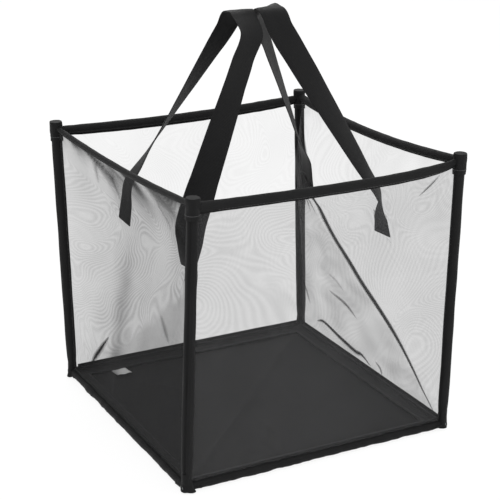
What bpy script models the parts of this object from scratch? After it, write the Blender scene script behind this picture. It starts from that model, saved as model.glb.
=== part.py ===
"""Open-topped square mesh box that folds flat, with two webbing handles: a folding trap or holding net.

Lengths are in metres and +Z is up. The origin is the centre of the footprint, on the surface it stands on.
Four rods in fabric sleeves frame the floor, four more stand at the corners and four make the top rim.
To fold, every corner post tips along the next floor edge round the box, and its rim rod shuts against it.
"""

import math

import bmesh
import bpy
from mathutils import Matrix, Vector

# Driving dimensions
SIDE = 0.380  # between the centre lines of opposite posts
HEIGHT = 0.380  # to the top of the corner caps
ROD_R = 0.0030
EDGE_R = 0.0060  # sleeves along the floor and the rim
POST_R = 0.0070  # the thicker sleeve round a corner post
CAP_R = 0.0085
CAP_LENGTH = 0.027
RIM_DROP = 0.0125  # from the top of a pocket to the middle of a rim
CAP_SLACK = 0.0025  # between a post's top and the crown of its pocket
CAP_CLOTH = 0.0006  # the thickness of a pocket's crown
PINHOLE = 0.0005  # the radius left open in the middle of a crown
GAP = 0.0003  # between pieces that touch
STRAP_WIDTH = 0.038
STRAP_THICK = 0.0018
NET_THICK = 0.0010
FLOOR_THICK = 0.0030
LABEL_LOW = (-0.138, 0.146)
LABEL_HIGH = (-0.116, 0.176)
LABEL_THICK = 0.0008

HALF = SIDE / 2
HINGE_Z = 2 * EDGE_R + CAP_R + 0.0005  # a post's pivot, over the floor sleeve
RIM_Z = HEIGHT - RIM_DROP
PIVOT_IN = CAP_R + EDGE_R + 0.0005  # from a post's axis to its rim rod's pivot
FREE_GAP = 0.009  # room for the next post to start leaning
ROUND_SIDES = 16
END_STEPS = 4  # facets in a sleeve's rounded end

# Soft walls and handles, as the hung box holds them
NET_PULL = 0.139 * SIDE  # how far in the handles draw the left and right nets
NET_PEAK = 0.705  # the share of the net's height where it is drawn in most
TAB_Y = 0.26 * SIDE
TAB_LOW_Z = 0.68 * SIDE
APEX_Z = 1.44 * SIDE
TAB_X = 0.375 * SIDE
TAB_LENGTH = 0.050  # of webbing sewn to the net at each end
TAB_LEAN = 0.006  # how far a sewn end leans in over its length
STRAP_APART = 0.004  # between the two handles where they are held together
SHOULDER_DROP = 0.024  # from the top of a handle to where its leg runs straight
SHOULDER_Y = 0.028
LEG_STEPS = 7  # route points up a handle's leg
TURN_START = 0.90  # a leg turns between these shares of its length, from 1 at its sewn end to 0 at the top
TURN_END = 0.10

CORNERS = ("front_left", "front_right", "back_right", "back_left")
SIDES = ("left", "front", "right", "back")  # the rim that each corner's post carries


def material(name, colour, roughness, metallic=0.0):
    """A plain Principled material."""
    made = bpy.data.materials.new(name)
    made.use_nodes = True
    shader = made.node_tree.nodes["Principled BSDF"]
    shader.inputs["Base Color"].default_value = (*colour, 1.0)
    shader.inputs["Roughness"].default_value = roughness
    shader.inputs["Metallic"].default_value = metallic
    return made


def add_object(name, mesh, made, place=None):
    """Puts a bmesh in the scene as one named object."""
    bmesh.ops.recalc_face_normals(mesh, faces=mesh.faces)
    data = bpy.data.meshes.new(name)
    mesh.to_mesh(data)
    mesh.free()
    data.materials.append(made)
    data.shade_smooth()
    data.set_sharp_from_angle(angle=math.radians(35))
    thing = bpy.data.objects.new(name, data)
    bpy.context.scene.collection.objects.link(thing)
    if place is not None:
        thing.matrix_world = place
    return thing


def turned(profile):
    """A closed outline of (radius, z) points turned round the Z axis."""
    mesh = bmesh.new()
    rings = []
    for turn in range(ROUND_SIDES):
        angle = 2 * math.pi * turn / ROUND_SIDES
        rings.append([mesh.verts.new((r * math.cos(angle), r * math.sin(angle), z)) for r, z in profile])
    for turn, ring in enumerate(rings):
        following = rings[(turn + 1) % ROUND_SIDES]
        for i in range(len(profile)):
            j = (i + 1) % len(profile)
            mesh.faces.new((ring[i], following[i], following[j], ring[j]))
    return mesh


def sleeve_mesh(length, radius, rounded_start=True, rounded_end=True):
    """A fabric sleeve along +Z from the origin, bored for its rod, with its ends drawn in round.

    A rounded end is centred on its own end of the length, so that it can pivot there.
    """
    bore = ROD_R + GAP
    open_end = math.asin(bore / radius)
    turns = [open_end + (math.pi / 2 - open_end) * i / END_STEPS for i in range(END_STEPS + 1)]
    start = [(bore, 0.0), (radius, 0.0)]
    end = [(radius, length), (bore, length)]
    if rounded_start:
        start = [(radius * math.sin(t), -radius * math.cos(t)) for t in turns]
    if rounded_end:
        end = [(radius * math.sin(t), length + radius * math.cos(t)) for t in reversed(turns)]
    return turned(start + end)


def rod_mesh(length, radius):
    """A solid round rod along +Z from the origin."""
    mesh = bmesh.new()
    bmesh.ops.create_cone(
        mesh, cap_ends=True, segments=ROUND_SIDES, radius1=radius, radius2=radius, depth=length
    )
    bmesh.ops.translate(mesh, verts=mesh.verts, vec=(0, 0, length / 2))
    return mesh


def cap_mesh():
    """The fabric pocket over a post's top: a closed cup that opens downward, its crown at z = 0."""
    inside = POST_R + GAP
    crown = CAP_R * 0.25
    profile = [
        (PINHOLE, -CAP_CLOTH),
        (inside, -CAP_CLOTH - crown * 0.4),
        (inside, -CAP_LENGTH),
        (CAP_R, -CAP_LENGTH),
        (CAP_R, -crown),
        (CAP_R - crown, 0.0),
        (PINHOLE, 0.0),
    ]
    return turned(profile)


def quarter_turn(index):
    """The turn about Z that carries the front left corner to corner number index."""
    return Matrix.Rotation(index * math.pi / 2, 4, "Z")


def lying(start, direction):
    """The placement that lays a +Z shape from start along a level direction."""
    return Matrix.Translation(start) @ Vector((0, 0, 1)).rotation_difference(direction).to_matrix().to_4x4()


def corner_post(index, made):
    """One post with its sleeve, its rod and the pocket over its top."""
    name = CORNERS[index]
    place = quarter_turn(index) @ Matrix.Translation((-HALF, -HALF, HINGE_Z))
    length = HEIGHT - CAP_SLACK - HINGE_Z
    add_object("post_sleeve_" + name, sleeve_mesh(length, POST_R, rounded_end=False), made["binding"], place)
    add_object("post_rod_" + name, rod_mesh(length, ROD_R), made["rod"], place)
    top = quarter_turn(index) @ Matrix.Translation((-HALF, -HALF, HEIGHT))
    add_object("corner_cap_" + name, cap_mesh(), made["binding"], top)


def rim_edge(index, made):
    """The rim rod that a post carries, from its pivot beside the post to just short of the next post."""
    name = SIDES[index]
    start = Vector((-HALF, -HALF + PIVOT_IN, RIM_Z))
    length = SIDE - PIVOT_IN - CAP_R - EDGE_R - FREE_GAP
    place = quarter_turn(index) @ lying(start, Vector((0, 1, 0)))
    add_object("rim_sleeve_" + name, sleeve_mesh(length, EDGE_R), made["binding"], place)
    add_object("rim_rod_" + name, rod_mesh(length, ROD_R), made["rod"], place)


def floor_edge(index, made):
    """The rod along one edge of the floor, in its sleeve."""
    name = SIDES[index]
    start = Vector((-HALF, -HALF + EDGE_R + GAP, EDGE_R))
    length = SIDE - GAP
    place = quarter_turn(index) @ lying(start, Vector((0, 1, 0)))
    flat = sleeve_mesh(length, EDGE_R, rounded_start=False, rounded_end=False)
    add_object("floor_sleeve_" + name, flat, made["binding"], place)
    add_object("floor_rod_" + name, rod_mesh(length, ROD_R), made["rod"], place)


def slab(low, high):
    """A box between two corners."""
    mesh = bmesh.new()
    bmesh.ops.create_cube(mesh, size=1.0)
    size = Vector(high) - Vector(low)
    middle = (Vector(high) + Vector(low)) / 2
    for vert in mesh.verts:
        vert.co = Vector((vert.co.x * size.x, vert.co.y * size.y, vert.co.z * size.z)) + middle
    return mesh


def net_pull(across, up):
    """How far in a side net is drawn, from shares of its width and height."""
    spread = max(math.sin(math.pi * across), 0.0) ** 0.5
    if up < NET_PEAK:
        rise = (up / NET_PEAK) ** 1.3
    else:
        rise = math.cos((up - NET_PEAK) / (1 - NET_PEAK) * math.pi / 2)
    return NET_PULL * spread * rise


def net_wall(index, made):
    """One net wall as a thin sheet. The left and right ones are drawn in where the handles are sewn on."""
    columns = 16
    rows = 16
    drawn_in = index in (0, 2)
    low_z = 2 * EDGE_R + GAP
    high_z = RIM_Z - EDGE_R - GAP
    half_span = HALF - CAP_R - GAP
    mesh = bmesh.new()
    faces = []
    for side in (0, 1):
        grid = []
        for row in range(rows + 1):
            up = row / rows
            line = []
            for column in range(columns + 1):
                across = column / columns
                inward = net_pull(across, up) if drawn_in else 0.0
                x = -HALF - NET_THICK / 2 + side * NET_THICK + inward
                y = half_span * (2 * across - 1)
                line.append(mesh.verts.new((x, y, low_z + (high_z - low_z) * up)))
            grid.append(line)
        faces.append(grid)
    outer, inner = faces
    for row in range(rows):
        for column in range(columns):
            for grid in faces:
                low, high = grid[row], grid[row + 1]
                mesh.faces.new((low[column], low[column + 1], high[column + 1], high[column]))
    for row in (0, rows):
        out, back = outer[row], inner[row]
        for column in range(columns):
            mesh.faces.new((out[column], out[column + 1], back[column + 1], back[column]))
    for column in (0, columns):
        out = [line[column] for line in outer]
        back = [line[column] for line in inner]
        for row in range(rows):
            mesh.faces.new((out[row], out[row + 1], back[row + 1], back[row]))
    bmesh.ops.triangulate(mesh, faces=mesh.faces)
    add_object("net_wall_" + SIDES[index], mesh, made["net"], quarter_turn(index))


def smooth_path(points, steps):
    """Points along a Catmull-Rom curve through the given ones."""
    padded = [2 * points[0] - points[1], *points, 2 * points[-1] - points[-2]]
    path = []
    for i in range(1, len(padded) - 2):
        a, b, c, d = padded[i - 1 : i + 3]
        for step in range(steps):
            t = step / steps
            square = (2 * a - 5 * b + 4 * c - d) * t * t
            cube = (3 * b - a - 3 * c + d) * t**3
            path.append(0.5 * (2 * b + (c - a) * t + square + cube))
    path.append(points[-1])
    return path


def handle(side, sign, made):
    """One carrying handle, held up: webbing sewn flat to the net at both ends, turning to lie over a hand.

    sign is -1 for the left handle and +1 for the right one.
    """
    tab_x = sign * TAB_X
    top_x = sign * (STRAP_WIDTH / 2 + STRAP_APART / 2)
    sewn = Vector((tab_x, TAB_Y, TAB_LOW_Z))
    free = Vector((tab_x - sign * TAB_LEAN, 0.97 * TAB_Y, TAB_LOW_Z + TAB_LENGTH))
    shoulder = Vector((1.15 * top_x, SHOULDER_Y, APEX_Z - SHOULDER_DROP))
    leg = [free.lerp(shoulder, step / LEG_STEPS) for step in range(1, LEG_STEPS + 1)]
    bend = Vector((1.02 * top_x, SHOULDER_Y / 2, APEX_Z - SHOULDER_DROP / 5))
    half_route = [sewn, sewn.lerp(free, 0.5), free, *leg, bend]
    apex = Vector((top_x, 0.0, APEX_Z))
    other_half = [Vector((p.x, -p.y, p.z)) for p in reversed(half_route)]
    path = smooth_path([*half_route, apex, *other_half], 2)
    mesh = bmesh.new()
    stations = []
    for i, point in enumerate(path):
        along = (path[min(i + 1, len(path) - 1)] - path[max(i - 1, 0)]).normalized()
        share = abs(2 * i / (len(path) - 1) - 1)  # 1 at a sewn end, 0 at the top
        turn = min(max((TURN_START - share) / (TURN_START - TURN_END), 0.0), 1.0) * math.pi / 2
        end_sign = 1 if i <= len(path) // 2 else -1
        wide = Vector((math.sin(turn), end_sign * math.cos(turn), 0))
        wide = (wide - along * wide.dot(along)).normalized()
        flat = along.cross(wide).normalized()
        w = wide * STRAP_WIDTH / 2
        t = flat * STRAP_THICK / 2
        stations.append([mesh.verts.new(point + a) for a in (w + t, -w + t, -w - t, w - t)])
    for near, far in zip(stations, stations[1:]):
        for i in range(4):
            j = (i + 1) % 4
            mesh.faces.new((near[i], near[j], far[j], far[i]))
    mesh.faces.new(stations[0])
    mesh.faces.new(stations[-1])
    bmesh.ops.triangulate(mesh, faces=mesh.faces)
    add_object("handle_" + side, mesh, made["webbing"])


def main():
    for thing in list(bpy.data.objects):
        bpy.data.objects.remove(thing)
    made = {
        "binding": material("binding", (0.020, 0.020, 0.021), 0.75),
        "rod": material("rod", (0.30, 0.31, 0.32), 0.35, 0.9),
        "net": material("net", (0.06, 0.06, 0.06), 0.80),
        "cloth": material("cloth", (0.025, 0.025, 0.026), 0.85),
        "webbing": material("webbing", (0.018, 0.018, 0.019), 0.65),
        "label": material("label", (0.85, 0.85, 0.84), 0.70),
    }
    for index in range(len(CORNERS)):
        corner_post(index, made)
        rim_edge(index, made)
        floor_edge(index, made)
        net_wall(index, made)
    inside = HALF - EDGE_R - GAP
    panel = slab((-inside, -inside, 0), (inside, inside, FLOOR_THICK))
    add_object("floor_panel", panel, made["cloth"])
    label_base = FLOOR_THICK + GAP
    label = slab((*LABEL_LOW, label_base), (*LABEL_HIGH, label_base + LABEL_THICK))
    add_object("care_label", label, made["label"])
    handle("left", -1, made)
    handle("right", 1, made)


main()
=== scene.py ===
"""Looks of the folding net box: woven sleeves, see-through nets, cloth floor, webbing handles and stitching.

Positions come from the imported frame. Lengths are in metres and +Z is up.
"""

import math

import bmesh
import bpy
from mathutils import Matrix, Vector, noise


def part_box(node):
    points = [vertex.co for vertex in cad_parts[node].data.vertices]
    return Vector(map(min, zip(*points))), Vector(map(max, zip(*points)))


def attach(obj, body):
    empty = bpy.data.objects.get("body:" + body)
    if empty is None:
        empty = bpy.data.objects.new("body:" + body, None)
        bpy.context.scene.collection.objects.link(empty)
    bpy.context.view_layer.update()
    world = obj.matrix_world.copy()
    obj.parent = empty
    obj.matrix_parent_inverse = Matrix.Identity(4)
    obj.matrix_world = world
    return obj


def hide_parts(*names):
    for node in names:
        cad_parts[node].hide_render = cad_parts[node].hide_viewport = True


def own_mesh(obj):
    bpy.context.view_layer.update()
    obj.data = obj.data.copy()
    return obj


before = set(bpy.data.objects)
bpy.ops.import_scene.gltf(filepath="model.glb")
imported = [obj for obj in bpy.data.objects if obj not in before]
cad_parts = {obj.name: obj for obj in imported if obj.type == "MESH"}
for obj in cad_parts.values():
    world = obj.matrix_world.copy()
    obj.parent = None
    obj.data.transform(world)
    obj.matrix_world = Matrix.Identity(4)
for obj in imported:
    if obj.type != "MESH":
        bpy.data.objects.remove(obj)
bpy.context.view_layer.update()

CORNERS = ("front_left", "front_right", "back_right", "back_left")
SIDES = ("left", "front", "right", "back")

# Places read from the frame
post_low, post_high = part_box("post_sleeve_front_left")
cap_low, cap_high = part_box("corner_cap_front_left")
rim_low, rim_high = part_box("rim_sleeve_left")
edge_low, edge_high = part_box("floor_sleeve_left")
net_low, net_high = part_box("net_wall_front")
panel_low, panel_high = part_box("floor_panel")
label_low, label_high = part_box("care_label")
rod_low, rod_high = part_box("post_rod_front_left")
strap_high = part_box("handle_right")[1]

POST_R = (post_high.x - post_low.x) / 2
CAP_R = (cap_high.x - cap_low.x) / 2
ROD_R = (rod_high.x - rod_low.x) / 2
EDGE_R = (edge_high.z - edge_low.z) / 2
HALF = -(post_low.x + POST_R)
SIDE = 2 * HALF
HEIGHT = cap_high.z
HINGE_Z = post_low.z + POST_R
RIM_Z = (rim_low.z + rim_high.z) / 2
EDGE_Z = (edge_low.z + edge_high.z) / 2
NET_LOW_Z = net_low.z
NET_HIGH_Z = net_high.z
STRAP_WIDTH = 0.1 * SIDE
STRAP_THICK = 0.0018
APEX_Z = strap_high.z - STRAP_THICK / 2

# How far each rim hangs below a straight line, in metres
RIM_SAG = {"left": 0.008, "front": 0.0066, "right": 0.009, "back": 0.005}
# Below 1, a rim hangs lowest nearer its start than its middle
RIM_SKEW = {"left": 1.0, "front": 0.60, "right": 1.0, "back": 1.0}
# How far a rim's start is drawn up into its pocket, as a share of its sag, and over what share of its length
RIM_RISE = {"left": 0.0, "front": 0.45, "right": 0.0, "back": 0.0}
RIM_RISE_REACH = 0.3
# How thick a rim's binding is at its start and end, as shares of its thickness between
RIM_ENDS = {"left": (0.8, 0.8), "front": (0.62, 1.12), "right": (0.85, 0.85), "back": (0.8, 0.8)}
# How much higher than the frame's own each rim runs, and how far it bows into the box
RIM_LIFT = {"left": 0.0035, "front": 0.0, "right": 0.0030, "back": 0.0}
RIM_BOW = {"left": 0.002, "front": 0.000, "right": 0.006, "back": 0.001}
# Each rim sleeve's radius, and how far its tape's tail stands out below
RIM_R = {"left": 0.0038, "front": 0.0060, "right": 0.0058, "back": 0.0060}
RIM_TAIL = {"left": 0.0006, "front": 0.0018, "right": 0.0012, "back": 0.0028}
# How far the top of each corner leans from upright, in metres: the hung box is twisted a little
CORNER_LEAN = {
    (-1, -1): (0.0078, -0.0078),
    (1, -1): (0.0090, 0.0070),
    (1, 1): (-0.0078, 0.0078),
    (-1, 1): (-0.0130, -0.0045),
}
# How far the handles draw the side nets in, and at what share of the height they do it most
NET_PULL = 0.139 * SIDE
NET_PEAK = 0.705
# Where a handle is sewn on, and how it rises to its top
TAB_Y = 0.26 * SIDE
TAB_X = 0.375 * SIDE
TAB_LOW_Z = 0.68 * SIDE
TAB_LENGTH = 0.050
TAB_LEAN = 0.006
STRAP_APART = 0.004
SHOULDER_Y = 0.028
SHOULDER_DROP = 0.024
LEG_STEPS = 7
# The share of the view that each net's threads cover, before it is gathered or doubled
NET_DENSITY = {"left": 0.50, "front": 0.30, "right": 0.19, "back": 0.145}
# Moire: how many lines the noise makes, their spacing without it, and how dark they are
MOIRE_LINES = 52
MOIRE_PITCH_ACROSS = 0.014
MOIRE_PITCH_UP = 0.034
MOIRE_STRENGTH = 0.23
NET_THREAD = 0.0016
# Where each net's fold leaves its first post, and where it meets the floor, as shares of the height and width
FOLD_TOP = {"left": 0.80, "front": 1.0, "right": 1.0, "back": 1.0}
FOLD_END = {"left": 0.92, "front": 1.0, "right": 1.0, "back": 1.0}
# How strongly moire shows below the fold, where the net is slack
SLACK_MOIRE = {"left": 0.12, "front": 1.0, "right": 0.45, "back": 0.6}
# How far a net's foot laps its floor binding
NET_LAP = 0.004
# How far in from its edges a net is held flat, as a share of its side: the bulge grows over it
NET_HELD = 0.08
# How far a floor binding's tape lies in over the cloth
BINDING_REACH = 0.015
FLOOR_CLOTH_THICK = 0.0016
LABEL_TAPE_THICK = 0.0004
POST_STEPS = 44
GROOVE_DEPTH = 0.0022
GROOVE_SPREAD = 0.20
POCKET_STITCHES = 32
POCKET_SEAM_UP = 0.0065
STITCH_PITCH = 0.0042
STITCH_LENGTH = 0.0027
WEBBING_RIB = 0.0017
HERRINGBONE = 0.0076
THREAD_RELIEF = 0.0004
GRAIN_RELIEF = 0.0003
# The ground and the light round the object
GROUND_SIZE = 14.0
GROUND_GLOW = 0.86
WORLD_LIGHT = 0.75
# Each lamp: name, place, size in metres and power in watts
LAMPS = (
    ("key", (-1.6, -1.8, 2.6), 1.8, 42.0),
    ("fill", (2.2, -1.2, 1.6), 2.2, 20.0),
    ("back", (0.6, 2.4, 2.2), 2.0, 22.0),
)
# The camera: its lens in millimetres, its place, what it looks at, and its roll in degrees
CAMERA_LENS = 103.9
CAMERA_PLACE = (-0.8583, -1.6053, 0.8842)
CAMERA_TARGET = (0.0012, 0.0077, 0.2199)
CAMERA_ROLL = 0.52


# Materials


def new_material(name):
    """A new material with its node tree and Principled shader."""
    made = bpy.data.materials.new(name)
    made.use_nodes = True
    tree = made.node_tree
    shader = tree.nodes["Principled BSDF"]
    return made, tree, shader


def coordinates(tree):
    """Object coordinates, so that a pattern has its real size on every piece."""
    return tree.nodes.new("ShaderNodeTexCoord").outputs["Object"]


def uv_coordinates(tree):
    """UV coordinates, which every swept piece has in metres along and across."""
    source = tree.nodes.new("ShaderNodeUVMap")
    source.uv_map = "UVMap"
    return source.outputs["UV"]


def math_node(tree, operation, first, second=None):
    """A Math node on sockets or plain numbers."""
    made = tree.nodes.new("ShaderNodeMath")
    made.operation = operation
    for slot, value in zip(made.inputs, (first, second)):
        if value is None:
            continue
        if isinstance(value, (int, float)):
            slot.default_value = value
        else:
            tree.links.new(value, slot)
    return made.outputs[0]


def noise_field(tree, vector, scale, detail):
    """A noise texture on a vector socket."""
    made = tree.nodes.new("ShaderNodeTexNoise")
    made.inputs["Scale"].default_value = scale
    made.inputs["Detail"].default_value = detail
    tree.links.new(vector, made.inputs["Vector"])
    return made


def two_tones(tree, shader, factor, dark, light, low=0.0, high=1.0):
    """Base colour that runs from dark to light as a factor goes from low to high."""
    ramp = tree.nodes.new("ShaderNodeValToRGB")
    ramp.color_ramp.elements[0].position = low
    ramp.color_ramp.elements[0].color = (*dark, 1)
    ramp.color_ramp.elements[1].position = high
    ramp.color_ramp.elements[1].color = (*light, 1)
    tree.links.new(factor, ramp.inputs["Fac"])
    tree.links.new(ramp.outputs["Color"], shader.inputs["Base Color"])


def uneven_gloss(tree, shader, field, middle, spread):
    """Roughness that varies round a middle value with a noise field."""
    varied = math_node(tree, "MULTIPLY", field.outputs["Fac"], spread)
    tree.links.new(math_node(tree, "ADD", varied, middle - spread / 2), shader.inputs["Roughness"])


def relief(tree, shader, height, strength, depth):
    """Bump from a height socket, depth metres deep."""
    bump = tree.nodes.new("ShaderNodeBump")
    bump.inputs["Strength"].default_value = strength
    bump.inputs["Distance"].default_value = depth
    tree.links.new(height, bump.inputs["Height"])
    tree.links.new(bump.outputs["Normal"], shader.inputs["Normal"])


def weave(tree, vector, across, along, twill=0.0):
    """A woven height pattern: sine threads both ways, stepped like a twill."""
    split = tree.nodes.new("ShaderNodeSeparateXYZ")
    tree.links.new(vector, split.inputs[0])
    u = math_node(tree, "MULTIPLY", split.outputs[0], across)
    v = math_node(tree, "MULTIPLY", split.outputs[1], along)
    slanted = math_node(tree, "ADD", u, math_node(tree, "MULTIPLY", v, twill))
    wave_u = math_node(tree, "SINE", slanted)
    wave_v = math_node(tree, "SINE", v)
    product = math_node(tree, "MULTIPLY", wave_u, wave_v)
    return math_node(tree, "ADD", math_node(tree, "MULTIPLY", product, 0.5), 0.5)


def cloth_material(name, dark, light, roughness, thread, bump, twill=0.0):
    """Black woven cloth: thread relief, uneven dye and dust, worn lighter on its thread tops."""
    made, tree, shader = new_material(name)
    turns = 2 * math.pi / thread
    threads = weave(tree, uv_coordinates(tree), turns, turns, twill)
    patches = noise_field(tree, coordinates(tree), 22.0, 6.0)
    worn = math_node(tree, "MULTIPLY", threads, 0.55)
    dusty = math_node(tree, "MULTIPLY", patches.outputs["Fac"], 0.6)
    two_tones(tree, shader, math_node(tree, "ADD", worn, dusty), dark, light, 0.25, 0.85)
    uneven_gloss(tree, shader, patches, roughness, 0.18)
    relief(tree, shader, threads, bump, THREAD_RELIEF)
    shader.inputs["Sheen Weight"].default_value = 0.02
    shader.inputs["Sheen Roughness"].default_value = 0.45
    shader.inputs["Specular IOR Level"].default_value = 0.14
    return made


def webbing_material():
    """Flat woven webbing: ribs across the strap and a faint herringbone."""
    made, tree, shader = new_material("webbing_black")
    split = tree.nodes.new("ShaderNodeSeparateXYZ")
    tree.links.new(uv_coordinates(tree), split.inputs[0])
    across = math_node(tree, "MULTIPLY", split.outputs[0], 2 * math.pi / HERRINGBONE)
    along = math_node(tree, "MULTIPLY", split.outputs[1], 2 * math.pi / WEBBING_RIB)
    ridge = math_node(tree, "ABSOLUTE", math_node(tree, "SINE", across))
    chevron = math_node(tree, "ADD", along, math_node(tree, "MULTIPLY", ridge, 2.2))
    wave = math_node(tree, "MULTIPLY", math_node(tree, "SINE", chevron), 0.5)
    ribs = math_node(tree, "ADD", wave, 0.5)
    patches = noise_field(tree, coordinates(tree), 30.0, 5.0)
    worn = math_node(tree, "MULTIPLY", ribs, 0.45)
    dusty = math_node(tree, "MULTIPLY", patches.outputs["Fac"], 0.6)
    dark = (0.002, 0.002, 0.0022)
    light = (0.008, 0.008, 0.0084)
    two_tones(tree, shader, math_node(tree, "ADD", worn, dusty), dark, light, 0.2, 0.9)
    uneven_gloss(tree, shader, patches, 0.6, 0.2)
    relief(tree, shader, ribs, 0.55, THREAD_RELIEF)
    shader.inputs["Specular IOR Level"].default_value = 0.14
    shader.inputs["Sheen Weight"].default_value = 0.03
    shader.inputs["Sheen Roughness"].default_value = 0.4
    return made


def net_material(name, shade):
    """Fine black net: threads too thin to see one by one, so they show as a veil with ripples of moire.

    The mesh's own cover attribute says how much of the view the threads cover at each place.
    """
    made, tree, shader = new_material(name)
    vector = uv_coordinates(tree)
    split = tree.nodes.new("ShaderNodeSeparateXYZ")
    tree.links.new(vector, split.inputs[0])
    field = noise_field(tree, vector, 7.0, 1.3)
    field.inputs["Roughness"].default_value = 0.42
    field.inputs["Distortion"].default_value = 0.7
    # Moire: close contour lines that follow how the net lies
    slope = math_node(tree, "MULTIPLY", split.outputs[0], 2 * math.pi / MOIRE_PITCH_ACROSS)
    slope_up = math_node(tree, "MULTIPLY", split.outputs[1], 2 * math.pi / MOIRE_PITCH_UP)
    turns = math_node(tree, "MULTIPLY", field.outputs["Fac"], 2 * math.pi * MOIRE_LINES)
    phase = math_node(tree, "ADD", math_node(tree, "ADD", slope, slope_up), turns)
    lines = math_node(tree, "SINE", phase)
    patches = noise_field(tree, vector, 14.0, 3.0)
    ripples = tree.nodes.new("ShaderNodeAttribute")
    ripples.attribute_name = "ripples"
    strength = math_node(tree, "MULTIPLY", patches.outputs["Fac"], ripples.outputs["Fac"])
    strength = math_node(tree, "MULTIPLY", strength, MOIRE_STRENGTH)
    banding = math_node(tree, "MULTIPLY", lines, strength)
    cloudy = math_node(tree, "MULTIPLY", math_node(tree, "SUBTRACT", patches.outputs["Fac"], 0.5), 0.5)
    threads = weave(tree, vector, 2 * math.pi / NET_THREAD, 2 * math.pi / NET_THREAD)
    grain = math_node(tree, "MULTIPLY", math_node(tree, "SUBTRACT", threads, 0.5), 0.35)
    uneven = math_node(tree, "ADD", banding, cloudy)
    factor = math_node(tree, "ADD", uneven, math_node(tree, "ADD", grain, 1.0))
    cover = tree.nodes.new("ShaderNodeAttribute")
    cover.attribute_name = "cover"
    total = math_node(tree, "MULTIPLY", factor, cover.outputs["Fac"])
    clamped = math_node(tree, "MINIMUM", math_node(tree, "MAXIMUM", total, 0.02), 0.97)
    tree.links.new(clamped, shader.inputs["Alpha"])
    shader.inputs["Base Color"].default_value = (shade, shade, shade * 1.02, 1)
    shader.inputs["Roughness"].default_value = 0.85
    shader.inputs["Specular IOR Level"].default_value = 0.05
    return made


def plain_material(name, colour, roughness, scale=900.0, spread=0.25):
    """A nearly plain surface with fine grain in its colour, gloss and relief."""
    made, tree, shader = new_material(name)
    grain = noise_field(tree, coordinates(tree), scale, 4.0)
    dark = [c * (1 - spread) for c in colour]
    light = [min(c * (1 + spread), 1) for c in colour]
    two_tones(tree, shader, grain.outputs["Fac"], dark, light)
    uneven_gloss(tree, shader, grain, roughness, 0.2)
    relief(tree, shader, grain.outputs["Fac"], 0.15, GRAIN_RELIEF)
    return made


MATERIALS = {
    "binding": cloth_material(
        "binding_tape",
        dark=(0.002, 0.002, 0.0021),
        light=(0.010, 0.010, 0.0104),
        roughness=0.62,
        thread=0.0011,
        bump=0.6,
        twill=0.5,
    ),
    "cloth": cloth_material(
        "floor_cloth",
        dark=(0.0015, 0.0015, 0.0016),
        light=(0.009, 0.009, 0.0092),
        roughness=0.7,
        thread=0.0009,
        bump=0.4,
    ),
    "webbing": webbing_material(),
    # The left net is coloured darker than the others as painted shade, and the other nets lighter as painted
    # light from the front; the net is one black throughout
    "net_painted_shade": net_material("net_painted_shade", 0.025),
    "net_painted_lit": net_material("net_painted_lit", 0.085),
    # The fold strips are coloured darker than the net round them: painted shade in the folds, on top of the
    # real doubling of the net
    "crease": net_material("net_crease_painted_shade", 0.012),
    "rod": plain_material("rod_glass_fibre", (0.32, 0.34, 0.33), 0.4),
    "label": plain_material("label_tape", (0.96, 0.96, 0.95), 0.75, scale=700.0, spread=0.05),
    "thread": plain_material("thread_black", (0.065, 0.065, 0.067), 0.5, scale=2500.0),
}


# Mesh tools


def quarter_turn(index):
    """The turn about Z that carries the front left corner to corner number index."""
    return Matrix.Rotation(index * math.pi / 2, 4, "Z")


def lean(point):
    """Where a point of the upright box goes in the slightly twisted one."""
    u = min(max(point.x / HALF, -1), 1)
    v = min(max(point.y / HALF, -1), 1)
    rise = max(point.z, 0) / HEIGHT
    moved = Vector((0, 0, 0))
    for (a, b), (x, y) in CORNER_LEAN.items():
        share = (1 + a * u) * (1 + b * v) / 4
        moved += share * Vector((x, y, 0))
    return point + moved * rise


def finish_piece(mesh, name, material, body, place=None, leans=True):
    """Makes one shown piece from a bmesh and rides it on its body."""
    if place is not None:
        bmesh.ops.transform(mesh, matrix=place, verts=mesh.verts)
    if leans:
        for vert in mesh.verts:
            vert.co = lean(vert.co)
    data = bpy.data.meshes.new(name)
    mesh.to_mesh(data)
    mesh.free()
    data.materials.append(MATERIALS[material])
    data.shade_smooth()
    data.set_sharp_from_angle(angle=math.radians(50))
    piece = bpy.data.objects.new(name, data)
    bpy.context.scene.collection.objects.link(piece)
    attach(piece, body)
    return piece


def distances(path):
    """How far along the path each of its points is."""
    made = [0.0]
    for near, far in zip(path, path[1:]):
        made.append(made[-1] + (far - near).length)
    return made


def around(sides):
    """Angles spread evenly round a circle."""
    return [2 * math.pi * k / sides for k in range(sides)]


def polar(radius, angle):
    return radius * math.cos(angle), radius * math.sin(angle)


def squareness(angle, power):
    """How much further out a rounded square's wall stands than a circle's, at an angle."""
    return (abs(math.cos(angle)) ** power + abs(math.sin(angle)) ** power) ** (-1 / power)


def crumple(angle, height, size, rate=2.0):
    """Seeded unevenness of a sleeve's wall, by angle and height."""
    return size * noise.noise(Vector((math.cos(angle) * rate, math.sin(angle) * rate, height)))


def uv_face(mesh, corners):
    """A face on (vertex, uv) corners."""
    face = mesh.faces.new([vert for vert, _ in corners])
    layer = mesh.loops.layers.uv["UVMap"]
    for loop, (_, uv) in zip(face.loops, corners):
        loop[layer].uv = uv


def skin(mesh, rows):
    """Faces between rows of (vertex, uv) points."""
    for near, far in zip(rows, rows[1:]):
        for k in range(len(near) - 1):
            uv_face(mesh, (near[k], near[k + 1], far[k + 1], far[k]))


def frames_along(path, up):
    """(point, side, up) at each point of a path, with up kept as near the given one as the path allows."""
    made = []
    for i, point in enumerate(path):
        along = (path[min(i + 1, len(path) - 1)] - path[max(i - 1, 0)]).normalized()
        side = along.cross(up).normalized()
        made.append((point, side, side.cross(along).normalized()))
    return made


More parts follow.
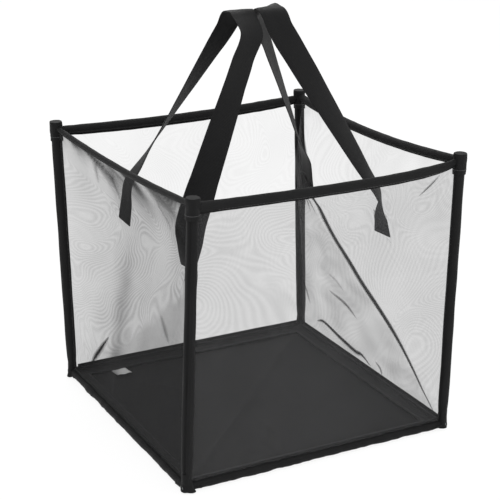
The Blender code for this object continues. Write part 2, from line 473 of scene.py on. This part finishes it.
def sweep(path, up, outline):
    """A closed tube of the given outline along a path. outline(i) lists (side, up) offsets at station i."""
    mesh = bmesh.new()
    layer = mesh.loops.layers.uv.new("UVMap")
    stations = []
    lengths = distances(path)
    for i, (point, side, top) in enumerate(frames_along(path, up)):
        shape = outline(i)
        stations.append([mesh.verts.new(point + side * a + top * b) for a, b in shape])
    shape = outline(len(path) // 2)
    girth = [0.0]
    for (a, b), (c, d) in zip(shape, [*shape[1:], shape[0]]):
        girth.append(girth[-1] + math.hypot(c - a, d - b))
    count = len(shape)
    for s in range(len(stations) - 1):
        for i in range(count):
            j = (i + 1) % count
            face = mesh.faces.new((stations[s][i], stations[s][j], stations[s + 1][j], stations[s + 1][i]))
            corners = ((i, s), (i + 1, s), (i + 1, s + 1), (i, s + 1))
            for loop, (g, n) in zip(face.loops, corners):
                loop[layer].uv = (girth[g], lengths[n])
    mesh.faces.new(stations[0])
    mesh.faces.new(stations[-1])
    bmesh.ops.recalc_face_normals(mesh, faces=mesh.faces)
    return mesh


def teardrop(radius, tail, tail_angle, sides=22, tail_thick=0.0012):
    """A sleeve's outline: a round tube whose tape ends meet in a short flat tail."""
    shape = []
    half_gap = math.asin(min(tail_thick / radius, 0.9))
    for i in range(sides + 1):
        angle = tail_angle + half_gap + (2 * math.pi - 2 * half_gap) * i / sides
        shape.append(polar(radius, angle))
    out = Vector((math.cos(tail_angle), math.sin(tail_angle)))
    across = Vector((-out.y, out.x)) * tail_thick
    reach = out * (radius + tail)
    shape.append((reach.x - across.x, reach.y - across.y))
    shape.append((reach.x + across.x, reach.y + across.y))
    return shape


def round_outline(radius, sides):
    return [polar(radius, angle) for angle in around(sides)]


def ripple(seed, distance, size=0.0005, scale=45.0):
    """A small seeded unevenness for sewn cloth."""
    return size * noise.noise(Vector((seed * 7.31, distance * scale, seed * 1.7)))


def straight(start, end, count):
    return [start.lerp(end, i / count) for i in range(count + 1)]


# A stitch's rings: how far along it, how high and how thick each is
STITCH_RINGS = (
    (-0.5, -0.0002, 0.00012),
    (-0.3, 0.00015, 0.00028),
    (0.3, 0.00015, 0.00028),
    (0.5, -0.0002, 0.00012),
)


def thread(mesh, rings, first, second, turn=0.0):
    """One stitch: a four-sided thread through rings of (centre, radius) in the plane of two axes."""
    made = []
    for centre, radius in rings:
        angles = [turn + a for a in around(4)]
        offsets = [first * math.cos(a) + second * math.sin(a) for a in angles]
        made.append([mesh.verts.new(centre + radius * offset) for offset in offsets])
    for near, far in zip(made, made[1:]):
        for k in range(4):
            n = (k + 1) % 4
            mesh.faces.new((near[k], near[n], far[n], far[k]))
    mesh.faces.new(made[0])
    mesh.faces.new(made[-1])


def stitches(name, path, normal, body, pitch=STITCH_PITCH, leans=True):
    """A row of short thread loops along a path, lying on a surface whose normal is given."""
    mesh = bmesh.new()
    lengths = distances(path)
    count = int(lengths[-1] / pitch)
    segment = 0
    for number in range(count):
        centre_at = (number + 0.5) * pitch
        while segment < len(path) - 2 and lengths[segment + 1] < centre_at:
            segment += 1
        share = (centre_at - lengths[segment]) / (lengths[segment + 1] - lengths[segment])
        centre = path[segment].lerp(path[segment + 1], share)
        along = (path[segment + 1] - path[segment]).normalized()
        top = (normal - along * normal.dot(along)).normalized()
        side = along.cross(top)
        rings = []
        for at, lift, radius in STITCH_RINGS:
            rings.append((centre + along * STITCH_LENGTH * at + top * lift, radius))
        thread(mesh, rings, side, top, math.pi / 4)
    bmesh.ops.recalc_face_normals(mesh, faces=mesh.faces)
    return finish_piece(mesh, name, "thread", body, leans=leans)


# The frame's sleeves


def rim_hang(side, share):
    """How much of its full sag a rim has at a share of its length."""
    inside = min(max(share, 0.0), 1.0)
    fall = max(math.sin(math.pi * inside ** RIM_SKEW[side]), 0.0) ** 0.8
    return fall - RIM_RISE[side] * max(0.0, 1 - inside / RIM_RISE_REACH) ** 2


def rim_path(side, start, end, count=36):
    """A rim's centre line in the left edge's place: from the front left post to the back left one."""
    path = []
    for i in range(count + 1):
        share = i / count
        hang = rim_hang(side, share)
        high = RIM_Z + RIM_LIFT[side] - RIM_SAG[side] * hang
        path.append(Vector((-HALF + RIM_BOW[side] * hang, start + (end - start) * share, high)))
    return path


def rim_sleeve(index):
    """The bound top edge of one net, with the tape's tail pointing down to the net."""
    side = SIDES[index]
    path = rim_path(side, -HALF + POST_R * 0.8, HALF - POST_R * 0.9)
    last = len(path) - 1

    def outline(i):
        at_start, at_end = RIM_ENDS[side]
        squeeze = 1.0 + (at_start - 1) * math.exp(-i / 1.8) + (at_end - 1) * math.exp((i - last) / 1.8)
        radius = RIM_R[side] * squeeze + ripple(index + 1, i / last, 0.0004)
        return teardrop(radius, RIM_TAIL[side] * squeeze, -math.pi / 2)

    mesh = sweep(path, Vector((0, 0, 1)), outline)
    place = quarter_turn(index)
    piece = finish_piece(mesh, "rim_binding_" + side, "binding", "rim_" + side, place)
    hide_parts("rim_sleeve_" + side)
    rod = sweep(path[1:-1], Vector((0, 0, 1)), lambda i: round_outline(ROD_R, 12))
    rod_piece = finish_piece(rod, "rim_rod_bent_" + side, "rod", "rim_" + side, place)
    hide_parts("rim_rod_" + side)
    seam = [p + Vector((-RIM_R[side] * 0.75, 0, -RIM_R[side] * 0.72)) for p in path[2:-2]]
    turned_seam = [place @ p for p in seam]
    stitches("rim_stitching_" + side, turned_seam, place.to_3x3() @ Vector((-0.7, 0, -0.7)), "rim_" + side)


def post_sleeve(index):
    """A corner post: two tapes sewn edge to edge over the rod, with a groove where they meet."""
    corner = CORNERS[index]
    foot = post_low.z
    top = HEIGHT - 0.004
    path = straight(Vector((-HALF, -HALF, foot)), Vector((-HALF, -HALF, top)), POST_STEPS)
    sides = 36

    def outline(i):
        shape = []
        height = i / POST_STEPS
        foot_pinch = 1.0 - 0.45 * math.exp(-i / 1.1)
        for angle in around(sides):
            # Grooves face out of the corner and into the box, a quarter turn from the nets
            from_groove = abs(math.sin(angle + math.pi / 4))
            groove = GROOVE_DEPTH * math.exp(-((from_groove / GROOVE_SPREAD) ** 2))
            uneven = crumple(angle, height * 9 + index * 5, 0.0006, 1.5)
            radius = (POST_R + 0.0002 - groove + uneven) * foot_pinch
            shape.append(polar(radius, angle))
        return shape

    mesh = sweep(path, Vector((0, 1, 0)), outline)
    place = quarter_turn(index)
    piece = finish_piece(mesh, "post_binding_" + corner, "binding", "post_" + corner, place)
    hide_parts("post_sleeve_" + corner)
    rod = sweep(path[1:-1], Vector((0, 1, 0)), lambda i: round_outline(ROD_R, 12))
    rod_piece = finish_piece(rod, "post_rod_leaning_" + corner, "rod", "post_" + corner, place)
    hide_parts("post_rod_" + corner)


def pocket_radius(angle):
    """How far a pocket's wall stands from the post's axis: between a circle and a square."""
    return CAP_R * (0.82 + 0.14 * squareness(angle, 6))


def corner_pocket(index):
    """The folded cloth pocket over a post's top, squarer than the sleeve, widening a little upwards."""
    corner = CORNERS[index]
    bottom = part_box("corner_cap_" + corner)[0].z
    steps = 16
    path = straight(Vector((-HALF, -HALF, bottom)), Vector((-HALF, -HALF, HEIGHT)), steps)
    sides = 40

    def outline(i):
        share = i / steps
        shape = []
        hem = 0.0001 if share < 0.14 else 0.0004 * share
        crown = 1.0 - 0.06 * max(0.0, (share - 0.92) / 0.08) ** 2
        for angle in around(sides):
            radius = (pocket_radius(angle) + hem + crumple(angle, share * 3 + 11 * index, 0.0007)) * crown
            shape.append(polar(radius, angle))
        return shape

    mesh = sweep(path, Vector((0, 1, 0)), outline)
    place = quarter_turn(index)
    piece = finish_piece(mesh, "corner_pocket_" + corner, "binding", "post_" + corner, place)
    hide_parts("corner_cap_" + corner)
    axis = Vector((-HALF, -HALF, bottom))
    ring = []
    for k in range(POCKET_STITCHES + 1):
        angle = 2 * math.pi * k / POCKET_STITCHES
        reach = pocket_radius(angle) + 0.0005
        out = Vector((math.cos(angle), math.sin(angle), 0))
        ring.append(place @ (axis + reach * out + Vector((0, 0, POCKET_SEAM_UP))))
    stitch_ring("pocket_stitching_" + corner, ring, place @ axis, "post_" + corner)


def stitch_ring(name, ring, axis_point, body):
    """Stitches round a pocket, each lying on the side that faces away from the post."""
    mesh = bmesh.new()
    for near, far in zip(ring, ring[1:]):
        middle = (near + far) / 2
        out = Vector((middle.x - axis_point.x, middle.y - axis_point.y, 0)).normalized()
        along = (far - near).normalized() * STITCH_LENGTH * 0.32
        shape = ((-1, 0.00012), (-0.6, 0.00026), (0.6, 0.00026), (1, 0.00012))
        thread(mesh, [(middle + along * at, radius) for at, radius in shape], out, Vector((0, 0, 1)))
    bmesh.ops.recalc_face_normals(mesh, faces=mesh.faces)
    return finish_piece(mesh, name, "thread", body)


def floor_binding(index):
    """The bound edge of the floor: a slightly crumpled rod tunnel, its tape lying in over the cloth."""
    side = SIDES[index]
    count = 90
    path = straight(Vector((-HALF, -HALF - EDGE_R, EDGE_Z)), Vector((-HALF, HALF + EDGE_R, EDGE_Z)), count)

    def outline(i):
        along = i / count
        waves = ripple(index + 20, along, 0.0012, 13.0) + ripple(index + 31, along, 0.0008, 47.0)
        radius = EDGE_R - 0.0004 + waves
        end = 1.0 - 0.25 * math.exp(-min(i, count - i) / 1.5)
        shape = []
        for a, b in teardrop(radius * end, BINDING_REACH, 0.0):
            over_cloth = a > radius * 1.05
            lifted = 0.0007 * noise.noise(Vector((along * 30, index, a * 40))) if over_cloth else 0.0
            lowered = b - (EDGE_Z - panel_high.z - 0.0012 if over_cloth else 0.0) + lifted
            shape.append((a, max(lowered, -EDGE_R)))
        return shape

    mesh = sweep(path, Vector((0, 0, 1)), outline)
    place = quarter_turn(index)
    piece = finish_piece(mesh, "floor_binding_" + side, "binding", "base", place)
    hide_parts("floor_sleeve_" + side)
    rows = ((EDGE_R * 0.62, EDGE_R * 0.86), (EDGE_R + BINDING_REACH * 0.8, panel_high.z - EDGE_Z + 0.0026))
    for number, (inward, up) in enumerate(rows):
        x, z = -HALF + inward, EDGE_Z + up
        seam = straight(Vector((x, -HALF + 0.012, z)), Vector((x, HALF - 0.012, z)), 20)
        normal = place.to_3x3() @ Vector((0.4, 0, 0.9))
        stitches(f"floor_stitching_{side}_{number + 1}", [place @ p for p in seam], normal, "base")


def foot_wrap(index):
    """The sewn cloth corner at a post's foot, where two floor edges meet."""
    corner = CORNERS[index]
    top = HINGE_Z + 0.004
    steps = 14
    path = straight(Vector((-HALF, -HALF, 0.0015)), Vector((-HALF, -HALF, top)), steps)
    sides = 36

    def outline(i):
        share = i / steps
        shape = []
        for angle in around(sides):
            outward = max(0.0, math.cos(angle - 1.25 * math.pi))
            flare = (0.0010 + 0.0060 * outward**5) * (1 - share) ** 2.5
            uneven = crumple(angle, share * 3 + 5 * index + 40, 0.00063)
            radius = POST_R * (0.76 + 0.10 * squareness(angle, 5)) + flare + uneven
            shape.append(polar(radius, angle))
        return shape

    mesh = sweep(path, Vector((0, 1, 0)), outline)
    finish_piece(mesh, "foot_wrap_" + corner, "binding", "base", quarter_turn(index))


# Nets


def net_pull(across, up):
    """How far in a side net is drawn, from shares of its width and height."""
    spread = max(math.sin(math.pi * across), 0.0) ** 0.5
    if up < NET_PEAK:
        rise = (up / NET_PEAK) ** 1.3
    else:
        rise = math.cos((up - NET_PEAK) / (1 - NET_PEAK) * math.pi / 2)
    return NET_PULL * spread * rise


def tab_tucks(across, up):
    """Radiating tucks in the net round each handle's sewn end, fading out away from it."""
    moved = 0.0
    for tab in (0.5 - TAB_Y / SIDE, 0.5 + TAB_Y / SIDE):
        dx = across - tab
        dz = up - NET_PEAK
        distance = math.hypot(dx, dz) + 0.02
        angle = math.atan2(dz, dx)
        fades = math.exp(-distance / 0.16) * min(distance / 0.06, 1)
        moved += 0.0035 * math.sin(9 * angle + 2.0 * tab) * fades
    return moved


def net_shape(index, across, up):
    """A point of the net that hangs in the left edge's place, turned later to its own side."""
    side = SIDES[index]
    hang = rim_hang(side, across)
    high = NET_HIGH_Z + RIM_LIFT[side] - RIM_SAG[side] * hang + 0.0015
    low = NET_LOW_Z - NET_LAP
    edge = min(across, 1 - across, up, 1 - up)
    free = min(edge / NET_HELD, 1.0)
    inward = RIM_BOW[side] * hang * up
    if index in (0, 2):
        inward += net_pull(across, up) + tab_tucks(across, up) * free
    slack = 0.0022 if index in (0, 2) else 0.0012
    ripple_point = Vector((across * 4.5 + index * 9, up * 3.2, (across + up) * 2))
    inward += slack * free * noise.noise(ripple_point)
    # The memory of the fold: a low ridge along the diagonal
    off_crease = (up - (1 - across)) / math.sqrt(2)
    inward += (0.0028 if index in (0, 2) else 0.0010) * free * math.exp(-abs(off_crease) / 0.035)
    half_span = HALF - POST_R * 0.75
    return Vector((-HALF + inward, half_span * (2 * across - 1), low + (high - low) * up))


def below_the_fold(side, across, up):
    """1 in the triangle of a net below its fold and 0 above, turning over a few millimetres."""
    line = FOLD_TOP[side] * (1 - across / FOLD_END[side])
    return 1 / (1 + math.exp(min(max((up - line) / 0.012, -50), 50)))


def net_density(index, across, up):
    """The share of the view that the net covers at a point: more below the fold and where it is gathered
    under the rim, with a band and a thinner back end on the left net.
    """
    side = SIDES[index]
    base = NET_DENSITY[side]
    factor = 1.0
    below_fold = below_the_fold(side, across, up)
    bunched = 0.35 + noise.noise(Vector((across * 10, up * 4, index + 2.0)))
    gather = math.exp(-(1 - up) / 0.085) * max(0.0, bunched)
    if side == "left":
        factor += 0.24 * below_fold - 0.40 * max(0.0, across - 0.66) / 0.34
        factor += 2.2 * gather
        band = math.exp(-(((across - 0.62 - 0.10 * up) / 0.045) ** 2))
        factor += 0.30 * band * min(max((0.62 - up) / 0.1, 0), 1)
    if side == "right":
        factor += 0.90 * below_fold + 0.9 * gather
        factor += 0.8 * below_fold * noise.noise(Vector((across * 8, up * 15, 5.0)))
    if side in ("front", "back"):
        factor += 0.12 * noise.noise(Vector((across * 3, up * 3, index + 8.0)))
    return base * max(factor, 0.3)


def net_triangle(index, upper, count=64):
    """Half a net, on one side of its fold line."""
    mesh = bmesh.new()
    mesh.loops.layers.uv.new("UVMap")
    cover = mesh.verts.layers.float.new("cover")
    rippled = mesh.verts.layers.float.new("ripples")
    rows = []
    for i in range(count + 1):
        row = []
        for j in range(count + 1 - i):
            across, up = j / count, i / count
            if upper:
                across, up = 1 - across, 1 - up
            vert = mesh.verts.new(net_shape(index, across, up))
            vert[cover] = net_density(index, across, up)
            slack = below_the_fold(SIDES[index], across, up)
            gathered = min(1.0, NET_DENSITY[SIDES[index]] / vert[cover]) ** 2
            vert[rippled] = (1 + (SLACK_MOIRE[SIDES[index]] - 1) * slack) * gathered
            row.append((vert, (across * SIDE + index, up * SIDE)))
        rows.append(row)

    for i in range(count):
        for j in range(count - i):
            uv_face(mesh, (rows[i][j], rows[i][j + 1], rows[i + 1][j]))
            if j < count - i - 1:
                uv_face(mesh, (rows[i][j + 1], rows[i + 1][j + 1], rows[i + 1][j]))
    bmesh.ops.recalc_face_normals(mesh, faces=mesh.faces)
    return mesh


def net_wall(index):
    """One net in two halves that meet at its fold line, with the folds that are pressed into it."""
    side = SIDES[index]
    body = "post_" + CORNERS[index]
    place = quarter_turn(index)
    # The left net takes the darker painted-shade copy of the net, the other sides the lighter painted-lit
    # copy
    look = "net_painted_shade" if side == "left" else "net_painted_lit"
    lower = finish_piece(net_triangle(index, False), "net_lower_" + side, look, body, place)
    upper = finish_piece(net_triangle(index, True), "net_upper_" + side, look, body, place)
    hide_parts("net_wall_" + side)
    for piece in (lower, upper):
        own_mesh(piece)
    if side in FOLDS:
        # The folds are drawn in the darker crease colour, which is painted shade
        made = finish_piece(pressed_folds(index), "net_folds_" + side, "crease", body, place)
        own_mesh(made)
    finish_piece(net_hem(index), "net_foot_tape_" + side, "binding", "base", place)


# Folds pressed into a net: the places they pass, as shares across and up, their width in metres and density
FOLDS = {
    "right": (
        (((0.02, 0.97), (0.25, 0.78), (0.50, 0.53), (0.75, 0.255), (0.975, 0.005)), 0.0140, 2.0),
        (((0.02, 0.62), (0.06, 0.53), (0.11, 0.50)), 0.0110, 0.80),
        (((0.01, 0.22), (0.05, 0.19), (0.08, 0.13)), 0.0090, 0.90),
        (
            ((0.13, 0.07), (0.20, 0.09), (0.33, 0.065), (0.43, 0.05), (0.48, 0.055), (0.54, 0.03)),
            0.0120,
            1.80,
        ),
        (((0.28, 0.275), (0.40, 0.26), (0.48, 0.22)), 0.0110, 0.85),
        (((0.30, 0.36), (0.36, 0.35), (0.41, 0.32)), 0.0110, 0.40),
        (((0.58, 0.07), (0.61, 0.05), (0.62, 0.02)), 0.0090, 0.90),
        (((0.03, 0.88), (0.07, 0.80), (0.13, 0.79)), 0.0120, 0.90),
        (((0.05, 0.74), (0.12, 0.68), (0.20, 0.70)), 0.0090, 0.50),
    ),
    "left": (
        (((0.06, 0.93), (0.11, 0.86), (0.13, 0.80)), 0.0120, 0.90),
        (((0.03, 0.88), (0.07, 0.82), (0.08, 0.76)), 0.0090, 0.55),
        (((0.30, 0.95), (0.36, 0.88), (0.37, 0.80)), 0.0140, 0.40),
        (((0.62, 0.96), (0.70, 0.90), (0.73, 0.80)), 0.0160, 0.55),
        (((0.72, 0.97), (0.80, 0.92), (0.84, 0.84)), 0.0140, 0.50),
    ),
    "front": (
        (((0.065, 0.985), (0.105, 0.955), (0.150, 0.925)), 0.0050, 1.00),
    ),
    "back": (
        (((0.065, 0.01), (0.095, 0.05), (0.145, 0.115)), 0.0130, 1.50),
        (((0.370, 0.17), (0.385, 0.10), (0.400, 0.03)), 0.0090, 0.60),
    ),
}
# How dense a fold is across its width: one side is a sharp edge, the other fades
FOLD_PROFILE = {-1.0: 0.0, -0.45: 0.35, 0.0: 1.0, 1.0: 0.0}


def pressed_folds(index):
    """Narrow doubled strips of net where it has been pressed or has slumped into a fold, coloured darker than
    the net as painted shade in the fold.
    """
    mesh = bmesh.new()
    mesh.loops.layers.uv.new("UVMap")
    cover = mesh.verts.layers.float.new("cover")
    for route, width, dense in FOLDS[SIDES[index]]:
        corners = [Vector((a, u, 0)) for a, u in route]
        path = smooth_path(corners, 12)
        last = len(path) - 1
        rows = []
        for i, point in enumerate(path):
            along = (path[min(i + 1, last)] - path[max(i - 1, 0)]).normalized()
            aside = Vector((-along.y, along.x, 0)) / SIDE
            taper = max(math.sin(math.pi * i / last), 0.0) ** 0.6
            half = width / 2 * (0.15 + 0.85 * taper)
            row = []
            for reach in (-1.0, -0.45, 0.0, 1.0):
                at = point + aside * reach * half
                place = net_shape(index, min(max(at.x, 0), 1), min(max(at.y, 0), 1))
                place.x += 0.0006
                vert = mesh.verts.new(place)
                vert[cover] = dense * (0.30 + 0.70 * taper) * FOLD_PROFILE[reach]
                row.append((vert, (at.x * SIDE, at.y * SIDE)))
            rows.append(row)
        skin(mesh, rows)
    return mesh


def net_hem(index):
    """The tape that joins a net's foot to the floor edge."""
    steps = 40
    reach = HALF - CAP_R
    x = -HALF + 0.0008
    path = straight(Vector((x, -reach, NET_LOW_Z)), Vector((x, reach, NET_LOW_Z)), steps)

    def outline(i):
        lift = ripple(index + 60, i / steps, 0.0004, 10.0)
        high = 0.0032 + lift
        return [(-0.0008, -0.004), (0.0008, -0.004), (0.0006, high), (-0.0006, high)]

    return sweep(path, Vector((0, 0, 1)), outline)


# Floor


def floor_cloth():
    """The cloth floor, drawn tight between its edges, with the soft traces of how it was folded."""
    count = 72
    low, high = panel_low, panel_high
    mesh = bmesh.new()
    mesh.loops.layers.uv.new("UVMap")
    grid = []
    for j in range(count + 1):
        row = []
        for i in range(count + 1):
            u, v = i / count, j / count
            x = low.x + (high.x - low.x) * u
            y = low.y + (high.y - low.y) * v
            edge = min(u, 1 - u, v, 1 - v)
            free = min(edge / 0.06, 1)
            z = high.z - 0.0004 + 0.0011 * noise.noise(Vector((x * 11, y * 9, 3.0))) * free
            z += 0.0024 * math.exp(-abs(u - v) / 0.014) * free
            z += 0.0006 * math.exp(-abs(u + v - 1) / 0.014) * free
            row.append((mesh.verts.new((x, y, z)), (x, y)))
        grid.append(row)
    skin(mesh, grid)
    bmesh.ops.recalc_face_normals(mesh, faces=mesh.faces)
    piece = finish_piece(mesh, "floor_cloth", "cloth", "base")
    thick = piece.modifiers.new("cloth_thickness", "SOLIDIFY")
    thick.thickness = FLOOR_CLOTH_THICK
    thick.offset = -1.0
    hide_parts("floor_panel")


def care_label():
    """The blank label, sewn down along one edge, its free end lifting."""
    low, high = label_low, label_high
    mesh = bmesh.new()
    mesh.loops.layers.uv.new("UVMap")
    count = 16
    columns = 6
    grid = []
    for i in range(count + 1):
        row = []
        for j in range(columns + 1):
            u, v = i / count, j / columns
            lift = 0.0045 * max(0.0, 0.75 - u) ** 1.6 + 0.0007 * math.sin(3 * math.pi * v) * (1 - u)
            x = low.x + (high.x - low.x) * v
            y = low.y + (high.y - low.y) * u
            row.append((mesh.verts.new((x, y, low.z + 0.0006 + lift)), (x, y)))
        grid.append(row)
    skin(mesh, grid)
    piece = finish_piece(mesh, "label_tape", "label", "base")
    thick = piece.modifiers.new("label_thickness", "SOLIDIFY")
    thick.thickness = LABEL_TAPE_THICK
    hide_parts("care_label")


# Handles


def smooth_path(points, steps):
    """Points along a Catmull-Rom curve through the given ones."""
    padded = [2 * points[0] - points[1], *points, 2 * points[-1] - points[-2]]
    path = []
    for i in range(1, len(padded) - 2):
        a, b, c, d = padded[i - 1 : i + 3]
        for step in range(steps):
            t = step / steps
            linear = (c - a) * t
            square = (2 * a - 5 * b + 4 * c - d) * t * t
            cubic = (3 * b - a - 3 * c + d) * t**3
            path.append(0.5 * (2 * b + linear + square + cubic))
    path.append(points[-1])
    return path


# How far each leg has turned, in degrees, at shares of its length from its top (0) to its sewn end (1)
TURN_SHARES = (0.0, 0.12, 0.35, 0.67, 0.82, 0.92, 1.0)
LEG_TURNS = {
    ("left", 1): (96, 84, 62, 31, 8, 2, 0),
    ("left", -1): (100, 112, 109, 88, 55, 22, 0),
    ("right", 1): (82, 50, 40, 30, 10, 4, 0),
    ("right", -1): (90, 90, 80, 56, 40, 8, 0),
}
# Which way round each leg turns, seen from above
LEG_SENSE = {("left", 1): 1, ("left", -1): -1, ("right", 1): 1, ("right", -1): 1}
# How far the front leg bows towards the front below its top, in metres
LEG_FORWARD = {"left": 0.012, "right": 0.0}


def leg_turn(side, end_sign, share):
    """The turn of a leg at a share of its length, eased between the named ones."""
    turns = LEG_TURNS[(side, end_sign)]
    for near, far, a, b in zip(TURN_SHARES, TURN_SHARES[1:], turns, turns[1:]):
        if share <= far:
            t = (share - near) / (far - near)
            return math.radians(a + (b - a) * t)
    return math.radians(turns[-1])


def handle(side, sign):
    """One webbing handle, sewn flat to the net at both ends and turning to lie over a hand at the top."""
    tab_x = sign * TAB_X
    top_x = sign * (STRAP_WIDTH / 2 + STRAP_APART / 2)
    sewn = Vector((tab_x, TAB_Y, TAB_LOW_Z - 0.004))
    free = Vector((tab_x - sign * TAB_LEAN, 0.97 * TAB_Y, TAB_LOW_Z + TAB_LENGTH))
    shoulder = Vector((1.15 * top_x, SHOULDER_Y, APEX_Z - SHOULDER_DROP))
    leg = [free.lerp(shoulder, step / LEG_STEPS) for step in range(1, LEG_STEPS + 1)]
    bend = Vector((1.02 * top_x, SHOULDER_Y / 2, APEX_Z - 0.005))
    half_route = [sewn, sewn.lerp(free, 0.5), free, *leg, bend]
    apex = Vector((top_x, 0.0, APEX_Z))
    other_half = []
    for number, point in enumerate(reversed(half_route)):
        near_top = max(0.0, 1 - number / LEG_STEPS) * min(1.0, number)
        forward = LEG_FORWARD[side] * near_top
        other_half.append(Vector((point.x, -point.y - forward, point.z)))
    path = smooth_path([*half_route, apex, *other_half], 8)
    mesh = bmesh.new()
    mesh.loops.layers.uv.new("UVMap")
    lengths = distances(path)
    columns = 8
    stations = []
    last = len(path) - 1
    frames = []
    for i, point in enumerate(path):
        along = (path[min(i + 1, last)] - path[max(i - 1, 0)]).normalized()
        share = abs(2 * i / last - 1)
        end_sign = 1 if i <= last // 2 else -1
        turn = leg_turn(side, end_sign, share)
        wide = Vector((math.sin(turn), LEG_SENSE[(side, end_sign)] * math.cos(turn), 0))
        wide = (wide - along * wide.dot(along)).normalized()
        flat = along.cross(wide).normalized()
        frames.append((point, wide, flat))
        ring = []
        for layer_side in (1, -1):
            for k in range(columns + 1):
                across = 1 - 2 * k / columns
                if layer_side < 0:
                    across = -across
                edge = abs(across) ** 8
                cup = 0.0012 * (1 - across * across) * math.sin(2 * turn)
                uneven = 0.0003 * noise.noise(Vector((lengths[i] * 30, across * 2, sign * 3)))
                offset = layer_side * STRAP_THICK / 2 * (1 - 0.55 * edge) + cup + uneven
                vert = mesh.verts.new(point + wide * across * STRAP_WIDTH / 2 + flat * offset)
                ring.append((vert, (across * STRAP_WIDTH / 2, lengths[i])))
        stations.append(ring)
    count = len(stations[0])
    for near, far in zip(stations, stations[1:]):
        for k in range(count):
            n = (k + 1) % count
            uv_face(mesh, (near[k], near[n], far[n], far[k]))
    mesh.faces.new([c[0] for c in stations[0]])
    mesh.faces.new([c[0] for c in stations[-1]])
    bmesh.ops.recalc_face_normals(mesh, faces=mesh.faces)
    piece = finish_piece(mesh, "handle_webbing_" + side, "webbing", "base", leans=False)
    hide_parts("handle_" + side)
    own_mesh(piece)
    for number, end in enumerate((0, last)):
        box_stitch(side, number, frames, end, sign)


def box_stitch(side, number, frames, end, sign):
    """The sewn box and cross that hold a handle's end to the net."""
    point, wide, _ = frames[end]
    ahead = 10 if end == 0 else -10
    up = (frames[end + ahead][0] - point).normalized()
    inward = Vector((-sign, 0, 0))
    inset = STRAP_WIDTH / 2 - 0.004
    low, high = 0.004, 0.030
    face = inward * (STRAP_THICK / 2 + 0.0002)
    places = ((-1, low), (1, low), (1, high), (-1, high))
    corner = [point + wide * a * inset + up * b + face for a, b in places]
    route = [corner[0], corner[1], corner[2], corner[3], corner[0], corner[2], corner[1], corner[3]]
    path = []
    for near, far in zip(route, route[1:]):
        path.extend(straight(near, far, 8)[:-1])
    path.append(route[-1])
    piece = stitches(f"handle_stitching_{side}_{number + 1}", path, inward, "base", 0.0036, leans=False)
    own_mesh(piece)


# Stage


def add_stage():
    """A pale floor that glows evenly, soft light, and a camera above the front left corner."""
    ground = bmesh.new()
    bmesh.ops.create_grid(ground, x_segments=1, y_segments=1, size=GROUND_SIZE)
    data = bpy.data.meshes.new("ground")
    ground.to_mesh(data)
    ground.free()
    made, _, shader = new_material("stage_white")
    shader.inputs["Base Color"].default_value = (0.16, 0.16, 0.16, 1)
    shader.inputs["Roughness"].default_value = 1.0
    shader.inputs["Specular IOR Level"].default_value = 0.0
    shader.inputs["Emission Color"].default_value = (1, 1, 1, 1)
    shader.inputs["Emission Strength"].default_value = GROUND_GLOW
    data.materials.append(made)
    plane = bpy.data.objects.new("ground", data)
    plane.location.z = -0.0005
    bpy.context.scene.collection.objects.link(plane)

    world = bpy.data.worlds.new("studio")
    world.use_nodes = True
    world.node_tree.nodes["Background"].inputs[0].default_value = (1, 1, 1, 1)
    world.node_tree.nodes["Background"].inputs[1].default_value = WORLD_LIGHT
    bpy.context.scene.world = world
    bpy.context.scene.view_settings.view_transform = "Standard"

    for name, place, size, power in LAMPS:
        light = bpy.data.lights.new(name, "AREA")
        light.size = size
        light.energy = power
        lamp = bpy.data.objects.new(name, light)
        lamp.location = place
        lamp.rotation_euler = (Vector((0, 0, 0.2)) - Vector(place)).to_track_quat("-Z", "Y").to_euler()
        bpy.context.scene.collection.objects.link(lamp)

    camera = bpy.data.cameras.new("camera")
    camera.lens = CAMERA_LENS
    camera.sensor_width = 36.0
    camera.clip_end = 50.0
    eye = bpy.data.objects.new("camera", camera)
    eye.location = CAMERA_PLACE
    aim = (Vector(CAMERA_TARGET) - eye.location).to_track_quat("-Z", "Y").to_matrix().to_4x4()
    roll = Matrix.Rotation(math.radians(CAMERA_ROLL), 4, "Z")
    eye.rotation_euler = (aim @ roll).to_euler()
    bpy.context.scene.collection.objects.link(eye)
    bpy.context.scene.camera = eye


def keep_cad_rods():
    """The floor rods stay as the frame has them, with a finished material."""
    for name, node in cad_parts.items():
        if name.startswith("floor_rod_"):
            node.data.materials.clear()
            node.data.materials.append(MATERIALS["rod"])


add_stage()
keep_cad_rods()
for corner_index in range(4):
    floor_binding(corner_index)
    rim_sleeve(corner_index)
    post_sleeve(corner_index)
    corner_pocket(corner_index)
    foot_wrap(corner_index)
    net_wall(corner_index)
floor_cloth()
care_label()
handle("left", -1)
handle("right", 1)
